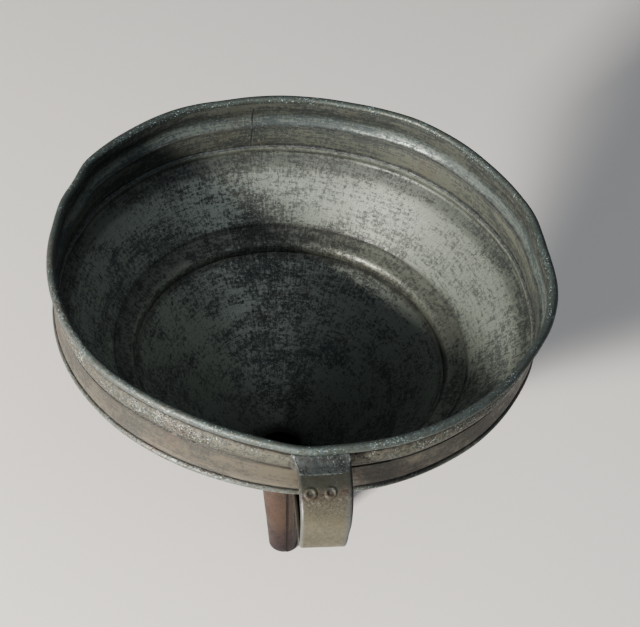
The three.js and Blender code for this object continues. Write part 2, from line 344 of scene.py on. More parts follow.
    height = calc(tree, "MULTIPLY", pitMask, -0.7)
    height = calc(tree, "ADD", height, swing(dust, 0.3))
    height = calc(tree, "ADD", height, swing(crumb, 0.7))
    height = calc(tree, "ADD", height, weighed(fineStreak, 0.5, "Streaks"))
    height = calc(tree, "ADD", height, swing(toneMask, -0.25))
    tree.links.new(height, result.inputs["Height"])
    return tree


def makeOutward():                                  # 1 on faces that look away from the axis
    tree, given, result = newGroup("outward", {"Vector": "Vector"}, {"Mask": "Float"})
    parts = put(tree, "SeparateXYZ", {0: given.outputs["Vector"]})
    flat = put(tree, "CombineXYZ", {0: parts.outputs[0], 1: parts.outputs[1], 2: 0.0})
    unit = put(tree, "VectorMath", {0: flat.outputs[0]}, operation="NORMALIZE").outputs[0]
    normal = put(tree, "NewGeometry").outputs["Normal"]
    facing = put(tree, "VectorMath", {0: unit, 1: normal}, operation="DOT_PRODUCT").outputs["Value"]
    tree.links.new(spread(tree, facing, -0.15, 0.15), result.inputs["Mask"])
    return tree


agedTin = makeAgedTin()
outward = makeOutward()
lookColors = ("Pale", "Dull", "Dark", "Stain", "Bright")
lookAmounts = ("Cover", "Patches", "Streaks", "Drips", "Grain", "Pitting", "Staining", "Wear")


def tinNode(tree, place, look):
    tin = put(tree, "Group", node_tree=agedTin)
    tree.links.new(place, tin.inputs["Vector"])
    for label in lookColors:
        tin.inputs[label].default_value = (*look[label.lower()], 1)
    for label in lookAmounts:
        tin.inputs[label].default_value = look[label.lower()]
    return tin


def heightTint(tree, place, stops, ragged):         # stops are (height, tint), from the lowest up
    wobble = calc(tree, "SUBTRACT", grain(tree, place, 260, 4, 0.6), 0.5)
    height = put(tree, "SeparateXYZ", {0: place}).outputs[2]
    height = calc(tree, "ADD", height, calc(tree, "MULTIPLY", wobble, ragged))
    low, high = stops[0][0], stops[-1][0]
    ramp = put(tree, "ValToRGB", {0: spread(tree, height, low, high)})
    points = ramp.color_ramp.elements
    points[0].color = (*stops[0][1], 1)
    points[1].color = (*stops[-1][1], 1)
    for at, tint in stops[1:-1]:
        points.new((at - low) / (high - low)).color = (*tint, 1)
    return ramp.outputs[0]


def closeMaterial(tree, color, roughness, metallic, height, bump):
    normal = put(tree, "Bump", {"Strength": bump, "Distance": 0.3 * mm, "Height": height})
    shader = put(tree, "BsdfPrincipled", {
        "Base Color": color, "Roughness": roughness, "Metallic": metallic, "Normal": normal.outputs[0],
    })
    output = put(tree, "OutputMaterial")
    tree.links.new(shader.outputs[0], output.inputs[0])


def blankMaterial(name):
    material = bpy.data.materials.new(name)
    material.use_nodes = True
    material.node_tree.nodes.clear()
    return material, material.node_tree, put(material.node_tree, "TexCoord").outputs["Object"]


def multiply(tree, color, tint):
    return put(tree, "Mix", {0: 1.0, 6: color, 7: tint}, data_type="RGBA", blend_type="MULTIPLY").outputs[2]


def twoSided(name, inside, outside, bump, inTint=None, outTint=None, busy=None):
    material, tree, place = blankMaterial(name)
    inner = tinNode(tree, place, inside)
    outer = tinNode(tree, place, outside)
    if busy:                                        # the handled edges are rougher than the wall between
        zone = heightTint(tree, place, busy["zones"], 0.0012)
        for label, (calm, worn) in busy["amounts"].items():
            tree.links.new(spread(tree, zone, 0, 1, calm, worn), outer.inputs[label])
    side = put(tree, "Group", node_tree=outward)
    tree.links.new(place, side.inputs[0])
    height = put(tree, "SeparateXYZ", {0: place}).outputs[2]
    mask = calc(tree, "MAXIMUM", side.outputs[0], spread(tree, height, below(1.0), below(0.3)))
    shade = plain
    inColor = inner.outputs["Color"]
    outColor = outer.outputs["Color"]
    if inTint:
        shade = heightTint(tree, place, inTint, 0.0022)
        inColor = multiply(tree, inColor, shade)
    if outTint:
        outColor = multiply(tree, outColor, heightTint(tree, place, outTint, 0.0013))
    color = mixColor(tree, mask, inColor, outColor)
    values = []
    for label in ("Roughness", "Metallic", "Height"):
        both = {0: mask, 2: inner.outputs[label], 3: outer.outputs[label]}
        values.append(put(tree, "Mix", both, data_type="FLOAT").outputs[0])
    if inTint:                                      # zones darkened by painted shade and dirt shine less
        values[1] = calc(tree, "MULTIPLY", values[1], spread(tree, shade, 0.25, 0.9, 0.15, 1.0))
    closeMaterial(tree, color, *values, bump)
    return material


def plainTin(name, look):
    material, tree, place = blankMaterial(name)
    if "shift" in look:
        place = put(tree, "Mapping", {"Vector": place, "Location": look["shift"]}).outputs[0]
    tin = tinNode(tree, place, look)
    color = tin.outputs["Color"]
    if "tints" in look:
        color = multiply(tree, color, heightTint(tree, place, look["tints"], 0.006))
    if "lapShadeTurn" in look:                            # painted shade and dirt along the step at the lap's edge, down the leaning tube
        parts = put(tree, "SeparateXYZ", {0: place})
        lean = calc(tree, "MULTIPLY", parts.outputs[2], spoutLean)
        turn = calc(tree, "ARCTAN2", parts.outputs[1], calc(tree, "ADD", parts.outputs[0], lean))
        away = calc(tree, "ABSOLUTE", calc(tree, "SUBTRACT", turn, math.radians(look["lapShadeTurn"])))
        away = calc(tree, "ADD", away, spread(tree, grain(tree, place, 160, 3, 0.6), 0, 1, -0.06, 0.06))
        color = mixColor(tree, spread(tree, away, 0.09, 0.04, 0, 0.85), color, (*look["dark"], 1))
    closeMaterial(tree, color, tin.outputs["Roughness"], tin.outputs["Metallic"],
                  tin.outputs["Height"], look["bump"])
    return material


def below(drop):                                    # a height, given in millimetres under the rim's wire
    return rimZ - drop * mm


plain = (1.0, 1.0, 1.0)
calm = (0.0, 0.0, 0.0)
bandInside = {
    "pale": (0.142, 0.150, 0.134), "dull": (0.046, 0.053, 0.053), "dark": (0.020, 0.021, 0.020),
    "stain": (0.085, 0.060, 0.040), "bright": (0.36, 0.37, 0.34), "cover": 0.02, "patches": 0.7,
    "streaks": 1.1, "drips": 0.4, "grain": 1.3, "pitting": 0.5, "staining": 0.3, "wear": 0.3,
}
bandOutside = {
    "pale": (0.104, 0.093, 0.073), "dull": (0.046, 0.045, 0.040), "dark": (0.016, 0.015, 0.014),
    "stain": (0.085, 0.043, 0.031), "bright": (0.34, 0.36, 0.34), "cover": 0.05, "patches": 1.3,
    "streaks": 0.7, "drips": 0.2, "grain": 0.6, "pitting": 0.5, "staining": 0.8, "wear": 0.6,
}
# Inside and outside height tints: the dark rings at the creases, above the inner seam and in the recess under
# the rolled rim are painted shade with some dirt; the lighter bluish bands are the worn collar and rim.
tinBand = twoSided("tinBand", bandInside, bandOutside, 0.4, [
    (below(30), (0.8, 0.8, 0.8)),
    (below(26.2), (0.70, 0.70, 0.70)),
    (below(24.9), (0.28, 0.28, 0.28)),
    (below(23.8), (0.75, 0.75, 0.72)),
    (below(17), (1.05, 1.05, 1.0)),
    (below(14.6), (0.95, 0.95, 0.95)),
    (below(13.4), (0.42, 0.42, 0.42)),
    (below(12.4), (0.95, 1.05, 1.08)),
    (below(9.5), (1.15, 1.25, 1.30)),
    (below(7), (0.75, 0.77, 0.75)),
    (below(3.5), (0.55, 0.55, 0.54)),
    (below(0.8), (0.70, 0.70, 0.70)),
    (below(-2), (0.95, 1.0, 1.02)),
], [
    (below(30), (0.50, 0.58, 0.60)),
    (below(28.6), (0.72, 0.82, 0.84)),
    (below(27.5), (0.66, 0.74, 0.76)),
    (below(26.9), (0.12, 0.12, 0.12)),
    (below(26.3), (0.16, 0.16, 0.16)),
    (below(25.6), (0.9, 0.9, 0.9)),
    (below(15.8), plain),
    (below(14.7), (0.72, 0.70, 0.68)),
    (below(14.1), (0.12, 0.12, 0.12)),
    (below(13.2), (0.16, 0.16, 0.16)),
    (below(12.3), (0.85, 0.92, 0.92)),
    (below(6.8), (1.05, 1.15, 1.15)),
    (below(5.4), (0.70, 0.74, 0.73)),
    (below(4.9), (0.07, 0.07, 0.07)),
    (below(1.9), (0.07, 0.07, 0.07)),
    (below(1.3), (0.60, 0.74, 0.79)),
    (below(-2), (0.74, 0.92, 0.98)),
], {
    "zones": [
        (below(30), plain), (below(27), plain), (below(25.6), calm), (below(15), calm),
        (below(13), plain), (below(0), plain),
    ],
    "amounts": {
        "Cover": (0.05, 0.06), "Grain": (1.0, 4.2), "Wear": (0.12, 1.0), "Patches": (1.1, 0.7),
        "Pitting": (0.45, 1.2),
    },
})
coneInside = {
    "pale": (0.205, 0.228, 0.203), "dull": (0.062, 0.070, 0.067), "dark": (0.030, 0.034, 0.032),
    "stain": (0.11, 0.09, 0.07), "bright": (0.46, 0.49, 0.45), "cover": -0.02, "patches": 0.9,
    "streaks": 0.7, "drips": 0.7, "grain": 1.5, "pitting": 0.7, "staining": 0.2, "wear": 0.4,
}
coneOutside = {
    "pale": (0.125, 0.112, 0.090), "dull": (0.058, 0.054, 0.048), "dark": (0.028, 0.026, 0.025),
    "stain": (0.105, 0.055, 0.034), "bright": (0.38, 0.38, 0.35), "cover": 0.0, "patches": 1.0,
    "streaks": 0.35, "drips": 0.3, "grain": 0.8, "pitting": 0.6, "staining": 0.7, "wear": 0.4,
}
# Inside tints: darker towards the throat as painted shade; the dark bands at the bead's feet and under the top
# seam are painted shade with dirt.
tinCone = twoSided("tinCone", coneInside, coneOutside, 0.4, [
    (coneZ(9 * mm), (0.35, 0.34, 0.33)),
    (coneZ(16 * mm), (0.62, 0.61, 0.58)),
    (coneZ(30 * mm), (0.85, 0.86, 0.84)),
    (coneZ(64.6 * mm), (0.95, 0.95, 0.93)),
    (coneZ(66.2 * mm), (0.40, 0.38, 0.36)),
    (coneZ(67.6 * mm), (0.85, 0.80, 0.76)),
    (coneZ(70.6 * mm), (1.05, 1.02, 0.98)),
    (coneZ(72.4 * mm), (0.60, 0.58, 0.55)),
    (coneZ(75.6 * mm), (0.42, 0.41, 0.40)),
    (coneZ(77.2 * mm), (0.92, 0.93, 0.90)),
    (coneZ(89 * mm), plain),
    (coneZ(93.5 * mm), (0.90, 0.90, 0.88)),
    (coneZ(95.6 * mm), (0.40, 0.41, 0.40)),
    (coneZ(98.6 * mm), (0.28, 0.29, 0.29)),
    (below(28.4), (0.44, 0.45, 0.43)),
    (below(27.4), (0.26, 0.26, 0.26)),
    (below(26.4), (0.45, 0.46, 0.44)),
    (below(25), (0.85, 0.87, 0.85)),
])
tinSpout = plainTin("tinSpout", {
    "pale": (0.080, 0.056, 0.044), "dull": (0.034, 0.025, 0.022), "dark": (0.012, 0.011, 0.012),
    "stain": (0.060, 0.027, 0.018), "bright": (0.24, 0.22, 0.20), "cover": 0.0, "patches": 1.0,
    "streaks": 0.15, "drips": 0.5, "grain": 0.9, "pitting": 0.6, "staining": 0.9, "wear": 0.3, "bump": 0.4,
    "lapShadeTurn": -78.5, "tints": [
        (spoutEndZ, (0.50, 0.50, 0.66)),
        (spoutEndZ * 0.84, (0.62, 0.58, 0.70)),
        (spoutEndZ * 0.68, (0.95, 0.90, 0.88)),
        (spoutEndZ * 0.30, (1.05, 1.0, 0.95)),
        (0.0, (0.62, 0.60, 0.58)),
    ],
})
solder = plainTin("solder", {
    "pale": (0.050, 0.058, 0.058), "dull": (0.019, 0.022, 0.022), "dark": (0.010, 0.011, 0.011),
    "stain": (0.055, 0.036, 0.024), "bright": (0.28, 0.31, 0.31), "cover": 0.02, "patches": 1.2,
    "streaks": 0.3, "drips": 0.2, "grain": 1.4, "pitting": 0.6, "staining": 0.5, "wear": 0.4, "bump": 0.8,
    "shift": (0.11, 0.52, 0.23),
})
ironWire = plainTin("ironWire", {
    "pale": (0.10, 0.08, 0.065), "dull": (0.06, 0.042, 0.035), "dark": (0.02, 0.015, 0.012),
    "stain": (0.14, 0.055, 0.025), "bright": (0.28, 0.24, 0.21), "cover": 0.0, "patches": 1.0,
    "streaks": 0.2, "drips": 0.0, "grain": 0.8, "pitting": 0.8, "staining": 1.0, "wear": 0.2, "bump": 0.8,
})


def makeStrapTin(look):
    material, tree, place = blankMaterial("tinStrap")
    shifted = put(tree, "Mapping", {"Vector": place, "Location": look["shift"]}).outputs[0]
    tin = tinNode(tree, shifted, look)
    parts = put(tree, "SeparateXYZ", {0: place})
    wave = calc(tree, "SUBTRACT", grain(tree, place, 210, 5, 0.65), 0.5)
    fine = calc(tree, "SUBTRACT", grain(tree, place, 900, 3, 0.65), 0.5)
    drop = calc(tree, "SUBTRACT", rimZ, parts.outputs[2])
    drop = calc(tree, "ADD", drop, calc(tree, "MULTIPLY", wave, look["waveSize"]))
    drop = calc(tree, "ADD", drop, calc(tree, "MULTIPLY", fine, look["fineSize"]))

    # the hems are tinted a darker bluish grey, wider on the +X side: bare hem colour, with painted shade on
    # the side turned from the light; the middle is olive grey
    side = calc(tree, "ABSOLUTE", calc(tree, "ADD", parts.outputs[0], look["hemShadeShift"]))
    side = calc(tree, "ADD", side, calc(tree, "MULTIPLY", fine, look["fineSize"]))
    hem = calc(tree, "MULTIPLY", spread(tree, side, *look["hemEdge"]), 0.75)
    color = mixColor(tree, hem, tin.outputs["Color"], (*look["hemColor"], 1))

    # brown stain under the joint, a rusty line, and the dark smear that the solder left
    stain = spread(tree, drop, *look["stainEdge"])
    stain = calc(tree, "MULTIPLY", stain, spread(tree, fine, -0.06, 0.05, 0.2, 1.0))
    color = mixColor(tree, calc(tree, "MULTIPLY", stain, 0.75), color, (*look["brown"], 1))
    crust = spread(tree, grain(tree, place, 1300, 3, 0.7), 0.52, 0.62)
    crust = calc(tree, "MULTIPLY", crust, spread(tree, drop, *look["crustEdge"]))
    color = mixColor(tree, calc(tree, "MULTIPLY", crust, 0.7), color, (*look["dark"], 1))
    line = calc(tree, "ABSOLUTE", calc(tree, "SUBTRACT", drop, look["lineDrop"]))
    line = spread(tree, line, *look["lineEdge"])
    line = calc(tree, "MULTIPLY", line, spread(tree, grain(tree, place, 420, 3, 0.6), 0.45, 0.6))
    color = mixColor(tree, calc(tree, "MULTIPLY", line, 0.8), color, (*look["rust"], 1))
    smear = calc(tree, "MULTIPLY", spread(tree, drop, *look["smearEdge"]), 0.9)
    smeared = multiply(tree, tin.outputs["Color"], (*look["smear"], 1))
    color = mixColor(tree, smear, color, smeared)
    # painted shade in the strap's creases
    strapCreaseShade = spread(tree, put(tree, "NewGeometry").outputs["Pointiness"], 0.492, 0.46)
    color = mixColor(tree, calc(tree, "MULTIPLY", strapCreaseShade, 0.7), color, (*look["dark"], 1))

    # the part that runs back under the fingers is darkened as painted shade
    returnShade = spread(tree, parts.outputs[1], *look["returnShadePlace"])
    returnShade = calc(tree, "MULTIPLY", returnShade, spread(tree, drop, *look["returnShadeDrop"]))
    color = mixColor(tree, returnShade, color, multiply(tree, color, (*look["returnShadeTint"], 1)))
    metal = calc(tree, "MULTIPLY", tin.outputs["Metallic"], spread(tree, stain, 0.0, 1.0, 1.0, 0.4))
    closeMaterial(tree, color, tin.outputs["Roughness"], metal, tin.outputs["Height"], look["bump"])
    return material


tinStrap = makeStrapTin({
    "pale": (0.132, 0.124, 0.090), "dull": (0.078, 0.075, 0.056), "dark": (0.022, 0.020, 0.017),
    "stain": (0.070, 0.048, 0.030), "bright": (0.42, 0.41, 0.36), "cover": 0.0, "patches": 1.0,
    "streaks": 0.1, "drips": 0.25, "grain": 1.0, "pitting": 0.35, "staining": 0.3, "wear": 0.22, "bump": 0.3,
    "shift": (0.31, 0.12, 0.07), "waveSize": 6 * mm, "fineSize": 2 * mm,
    "hemShadeShift": 0.7 * mm, "hemEdge": (7.2 * mm, 8.6 * mm), "hemColor": (0.080, 0.089, 0.094),
    "stainEdge": (13.5 * mm, 8 * mm), "crustEdge": (16.5 * mm, 9 * mm), "smearEdge": (7.4 * mm, 6.6 * mm),
    "lineDrop": 7.8 * mm, "lineEdge": (0.6 * mm, 0.2 * mm),
    "returnShadePlace": (-122.5 * mm, -119 * mm), "returnShadeDrop": (20 * mm, 26 * mm),
    "brown": (0.036, 0.027, 0.019), "rust": (0.030, 0.015, 0.010), "smear": (0.40, 0.45, 0.50),
    "returnShadeTint": (0.30, 0.28, 0.26),
})
print("materials ready")


# Outlines

def stretch(first, last, count):                    # count points from first towards last, last left out
    shares = [i / count for i in range(count)]
    return [tuple(a + (b - a) * share for a, b in zip(first, last)) for share in shares]


def rounded(corners, steps):                        # corners are (radius, height, rounding)
    line = []
    for i, (radius, height, rounding) in enumerate(corners):
        corner = Vector((radius, height))
        if rounding == 0:
            line.append(tuple(corner))
            continue
        before = corner + (Vector(corners[i - 1][:2]) - corner).normalized() * rounding
        after = corner + (Vector(corners[i + 1][:2]) - corner).normalized() * rounding
        for j in range(steps + 1):
            share = j / steps
            point = before * (1 - share) ** 2 + corner * 2 * share * (1 - share) + after * share ** 2
            line.append(tuple(point))
    return line


# Rim and band

bandLook = {
    "steps": 288, "rollTurn": 300, "rollSteps": 26, "collarRise": 1.25 * mm, "wall": 100.55 * mm,
    "collarTop": 4.2 * mm, "collarFoot": 13.2 * mm, "wallFoot": 26.0 * mm,
    "creaseDepth": 0.6 * mm, "footRise": 0.85 * mm, "collarSteps": 16, "footSteps": 8,
    "lapAzimuth": 95.8, "lapWidth": 4.6,
}


def bandOutline(look, inset=0.0):
    line = []
    turns = look["rollSteps"]
    for i in range(turns + 1):
        angle = math.radians(180 - look["rollTurn"] * (1 - i / turns))
        line.append((rimR + rollRadius * math.cos(angle), rimZ + rollRadius * math.sin(angle)))
    neck = rimR - rollRadius
    collarTop = rimZ - look["collarTop"]
    collarFoot = rimZ - look["collarFoot"]
    line += stretch((neck, rimZ - 0.8 * mm), (neck, collarTop), 4)
    for i in range(look["collarSteps"] + 1):
        share = i / look["collarSteps"]
        base = neck + (look["wall"] - neck) * share
        rise = look["collarRise"] * math.sin(math.pi * share ** 1.25) ** 0.8
        line.append((base + rise, collarTop + (collarFoot - collarTop) * share))
    wall = look["wall"]
    crease = look["creaseDepth"]
    wallFoot = rimZ - look["wallFoot"]
    line += [(wall - crease, collarFoot - 0.3 * mm), (wall - crease, collarFoot - 0.7 * mm)]
    line += stretch((wall, collarFoot - 1.3 * mm), (wall, wallFoot), 9)
    line += [(wall, wallFoot), (wall - crease, wallFoot - 0.5 * mm), (wall - crease, wallFoot - 0.85 * mm)]
    for i in range(look["footSteps"] + 1):
        share = i / look["footSteps"]
        rise = look["footRise"] * math.sin(math.pi * share)
        line.append((wall - 0.1 * mm + rise, wallFoot - 1.1 * mm - 2.55 * mm * share))
    return [(radius - inset, height) for radius, height in line]


def tuckedIn(points, width):                        # one end of the lap runs into the wall
    moved = points.copy()
    share = np.degrees(np.abs(np.arctan2(points[:, 1], points[:, 0]))) / width
    radius = np.hypot(points[:, 0], points[:, 1])
    moved[:, :2] *= (1 + share * sheet * 0.7 / radius)[:, None]
    return moved


def makeBand(look):
    band = drawLine("bandSheet", sideLine(bandOutline(look)))
    spinRound(band, look["steps"])

    # the overlapping end of the sheet, inside the lap seam
    lapLine = [point for point in bandOutline(look, sheet * 0.6)[look["rollSteps"] + 2:]
               if point[1] > rimZ - 25.2 * mm]
    lap = drawLine("bandLap", sideLine(lapLine))
    spinRound(lap, 6, look["lapWidth"] / 2)
    movePoints(lap, lambda points: tuckedIn(points, look["lapWidth"] / 2))
    turnAbout(lap, look["lapAzimuth"] + look["lapWidth"] / 4)

    for piece, thickness in ((band, sheet), (lap, sheet / 2)):
        ripple(piece, 0.03, 0.35 * mm, 1)
        thicken(piece, thickness)
    joined(band, lap)
    movePoints(band, outOfRound)
    smoothShade(band, 40)
    finish(band, "band", tinBand)


def makeRimWire(steps=240):
    radius = 1.0 * mm
    line = [(rimR + radius * math.cos(turn), rimZ + radius * math.sin(turn))
            for turn in (math.tau * i / 14 for i in range(15))]
    wire = drawLine("rimWire", sideLine(line))
    spinRound(wire, steps)
    movePoints(wire, outOfRound)
    smoothShade(wire)
    finish(wire, "rim_wire", ironWire)


makeBand(bandLook)
makeRimWire()
print("rim and band made")


# Cone

coneLook = {
    "steps": 288, "beadOuter": 75.4 * mm, "beadInner": 66.8 * mm, "beadRise": 1.75 * mm, "beadSkew": 1.7,
    "creaseDepth": 0.4 * mm, "lip": 99.45 * mm, "lipTop": 25.6 * mm,
}


def beadHeight(look, radius):                       # how far the bead stands up off the cone's wall
    share = (look["beadOuter"] - radius) / (look["beadOuter"] - look["beadInner"])
    if share < -0.2 or share > 1.2:
        return 0.0
    middle = min(max(share, 0), 1)
    crease = math.exp(-((share - 0.0) / 0.07) ** 2) + math.exp(-((share - 1.0) / 0.06) ** 2)
    ridge = math.sin(math.pi * middle ** look["beadSkew"]) ** 1.4
    return look["beadRise"] * ridge - look["creaseDepth"] * crease


def coneWall(look, fromR, toR, lift=0.0, steps=70):
    lean = math.hypot(1, coneSlope)
    line = []
    for i in range(steps + 1):
        radius = fromR + (toR - fromR) * i / steps
        rise = beadHeight(look, radius) + lift
        line.append((radius - rise * coneSlope / lean, coneZ(radius) + rise / lean))
    return line


def makeCone(look):
    line = [(look["lip"], rimZ - look["lipTop"])]
    line += rounded([
        (look["lip"], rimZ - look["lipTop"], 0),
        (look["lip"], coneTopZ + 0.2 * mm, 1.0 * mm),
        (coneTopR - 3 * mm, coneZ(coneTopR - 3 * mm), 0),
    ], 6)[1:-1]
    line += coneWall(look, coneTopR - 3 * mm, 77 * mm, steps=22)
    line += coneWall(look, 76.9 * mm, 64 * mm, steps=40)
    line += coneWall(look, 62 * mm, throatR, steps=30)
    line += [(9.75 * mm, -1.0 * mm), (9.4 * mm, -3.2 * mm)]
    cone = drawLine("coneSheet", sideLine(line))
    spinRound(cone, look["steps"])

    # the overlapping edge of the cone's own seam, on the handle's side
    lapWall = coneWall(look, coneTopR - 2 * mm, throatR + 1 * mm, sheet * 1.15, 80)
    lap = drawLine("coneLap", sideLine(lapWall))
    pick(lap)
    bpy.ops.object.mode_set(mode="EDIT")
    bpy.ops.mesh.select_all(action="SELECT")
    bpy.ops.transform.translate(value=(0, -2.2 * mm, 0))
    for i in range(4):
        bpy.ops.mesh.extrude_region_move(TRANSFORM_OT_translate={"value": (0, 1.1 * mm, 0)})
    bpy.ops.object.mode_set(mode="OBJECT")
    tidyMesh(lap)
    turnAbout(lap, -90)

    for piece in (cone, lap):
        ripple(piece, 0.045, 0.55 * mm, 1)
        thicken(piece)
    joined(cone, lap)
    movePoints(cone, outOfRound)
    smoothShade(cone, 40)
    finish(cone, "upper_cone lower_cone", tinCone)


makeCone(coneLook)
print("cone made")


# Spout

spoutLook = {"steps": 160, "top": 10.65 * mm, "topZ": -0.35 * mm, "lapWidth": 3.4 * mm}


def spoutR(look, height):
    share = (look["topZ"] - height) / (look["topZ"] - spoutEndZ)
    return look["top"] + (spoutEndR - sheet / 2 - look["top"]) * share


def spoutLine(look, lift=0.0, fromZ=None, toZ=None, steps=40):
    fromZ = look["topZ"] if fromZ is None else fromZ
    toZ = spoutEndZ if toZ is None else toZ
    heights = [fromZ + (toZ - fromZ) * i / steps for i in range(steps + 1)]
    return [(spoutR(look, height) + lift, height) for height in heights]


def makeSpout(look):
    spout = drawLine("spoutTube", sideLine(spoutLine(look)))
    spinRound(spout, look["steps"])
    lap = drawLine("spoutLap", sideLine(spoutLine(look, sheet * 1.05, -2.4 * mm, spoutEndZ + 0.4 * mm)))
    pick(lap)
    bpy.ops.object.mode_set(mode="EDIT")
    bpy.ops.mesh.select_all(action="SELECT")
    bpy.ops.transform.translate(value=(0, -look["lapWidth"] / 2, 0))
    for i in range(6):
        bpy.ops.mesh.extrude_region_move(TRANSFORM_OT_translate={"value": (0, look["lapWidth"] / 6, 0)})
    bpy.ops.object.mode_set(mode="OBJECT")
    tidyMesh(lap)
    movePoints(lap, lambda points: wrapOnTube(points, look))
    turnAbout(lap, -68)
    for piece in (spout, lap):
        ripple(piece, 0.014, 0.3 * mm, 1)
        thicken(piece)
    joined(spout, lap)
    movePoints(spout, leaning)
    smoothShade(spout, 40)
    finish(spout, "spout", tinSpout)


def wrapOnTube(points, look):                       # bends a flat strip round the tube
    moved = points.copy()
    radius = points[:, 0]
    angle = points[:, 1] / radius
    moved[:, 0] = radius * np.cos(angle)
    moved[:, 1] = radius * np.sin(angle)
    return moved


makeSpout(spoutLook)
print("spout made")


# Strap handle

strapLook = {
    "tab": 103.1 * mm, "reach": -handleBox[0][1] - 0.4 * mm, "width": 19.6 * mm, "narrowing": 0.2,
    "footEnd": 84 * mm, "hem": 0.95 * mm, "along": 190, "across": 72, "sheet": 0.5 * mm,
    "markPlace": 0.218, "marks": (-5.9 * mm, 1.5 * mm), "markRing": 1.75 * mm, "markRise": 0.5 * mm,
}


def strapSide(look):
    clear = 1.0 * mm * math.sqrt(2)
    foot = lambda radius: coneZ(radius) - clear
    return rounded([
        (look["tab"], rimZ - 11.2 * mm, 0),
        (look["tab"], rimZ - 4.4 * mm, 2 * mm),
        (look["reach"] - 8 * mm, rimZ - 7 * mm, 4 * mm),
        (look["reach"], rimZ - 14 * mm, 5 * mm),
        (look["reach"], rimZ - 33.5 * mm, 6.5 * mm),
        (95.5 * mm, foot(93 * mm), 5 * mm),
        (look["footEnd"], foot(look["footEnd"]), 0),
    ], 14)


def strapSection(look, share):                      # across the strap: rolled hem, flat, rolled hem
    half = look["width"] / 2
    hem = look["hem"]
    curl = math.radians(245) * hem
    flat = 2 * (half - hem)
    whole = 2 * curl + flat
    place = np.abs(share - 0.5) * whole             # distance from the middle line
    side = np.sign(share - 0.5)
    turn = np.clip(place - flat / 2, 0, None) / hem
    out = np.where(turn > 0, (half - hem) + hem * np.sin(turn), place)
    down = np.where(turn > 0, -hem * (1 - np.cos(turn)), 0)
    return side * out, down


def makeHandle(look):
    deselect()
    bpy.ops.mesh.primitive_grid_add(x_subdivisions=look["across"], y_subdivisions=look["along"], size=1)
    strap = bpy.context.object
    strap.name = "strapHandle"
    side = np.array(strapSide(look))
    run = np.concatenate([[0], np.cumsum(np.linalg.norm(np.diff(side, axis=0), axis=1))])

    def shape(points):
        s = (0.5 - points[:, 1]) * run[-1]
        radius = np.interp(s, run, side[:, 0])
        height = np.interp(s, run, side[:, 1])
        near = 0.6 * mm
        dr = np.interp(s + near, run, side[:, 0]) - np.interp(s - near, run, side[:, 0])
        dz = np.interp(s + near, run, side[:, 1]) - np.interp(s - near, run, side[:, 1])
        size = np.hypot(dr, dz)
        normalR, normalZ = -dz / size, dr / size
        out, down = strapSection(look, points[:, 0] + 0.5)
        ends = np.clip(np.minimum(s - 4 * mm, run[-1] - 9 * mm - s) / (5 * mm), 0.1, 1)
        fall = np.clip((rimZ - 4 * mm - height) / (rimZ - 4 * mm - side[-1, 1]), 0, 1)
        x = out * (1 - look["narrowing"] * fall)
        lift = down * ends
        # two ring-shaped punch marks and the bruised metal round them
        for place in look["marks"]:
            away = np.hypot(x - place, s - look["markPlace"] * run[-1])
            ring = np.exp(-((away - look["markRing"]) / (0.5 * mm)) ** 2)
            dip = np.exp(-(away / (3.2 * mm)) ** 2)
            lift = lift + look["markRise"] * (ring - 0.7 * dip)
        moved = points.copy()
        moved[:, 0] = x
        moved[:, 1] = -(radius + normalR * lift)
        moved[:, 2] = height + normalZ * lift
        return moved

    movePoints(strap, shape)
    ripple(strap, 0.009, 0.28 * mm, 1)
    thicken(strap, look["sheet"])
    movePoints(strap, outOfRound)
    tidyMesh(strap)
    smoothShade(strap, 50)
    finish(strap, "handle", tinStrap)


makeHandle(strapLook)
print("handle made")


# Solder

def solderRing(name, node, outline, steps, lump, rule):
    line = rounded([(*outline[-1], 0)] + [(*corner, 0) for corner in outline], 4)
    ring = drawLine(name, sideLine(line))
    spinRound(ring, steps)
    applyModifier(ring, "BEVEL", width=0.22 * mm, segments=3, limit_method="ANGLE",
                  angle_limit=math.radians(30))
    ripple(ring, 0.006, lump, 2)
    movePoints(ring, rule)
    smoothShade(ring, 60)
    finish(ring, node, solder)


def solderRun(name, node, path, width, thickness, azimuth, rule, lump=0.25 * mm, slices=6):
    # a flat run of solder that follows a line of radius and height
    run = drawLine(name, sideLine(path))
    pick(run)
    bpy.ops.object.mode_set(mode="EDIT")
    bpy.ops.mesh.select_all(action="SELECT")
    bpy.ops.transform.translate(value=(0, -width / 2, 0))
    for i in range(slices):
        bpy.ops.mesh.extrude_region_move(TRANSFORM_OT_translate={"value": (0, width / slices, 0)})
    bpy.ops.object.mode_set(mode="OBJECT")
    tidyMesh(run)
    thicken(run, thickness)
    applyModifier(run, "BEVEL", width=thickness * 0.45, segments=3, limit_method="ANGLE",
                  angle_limit=math.radians(50))
    ripple(run, 0.004, lump, 2)
    turnAbout(run, azimuth)
    movePoints(run, rule)
    smoothShade(run, 60)
    finish(run, node, solder)


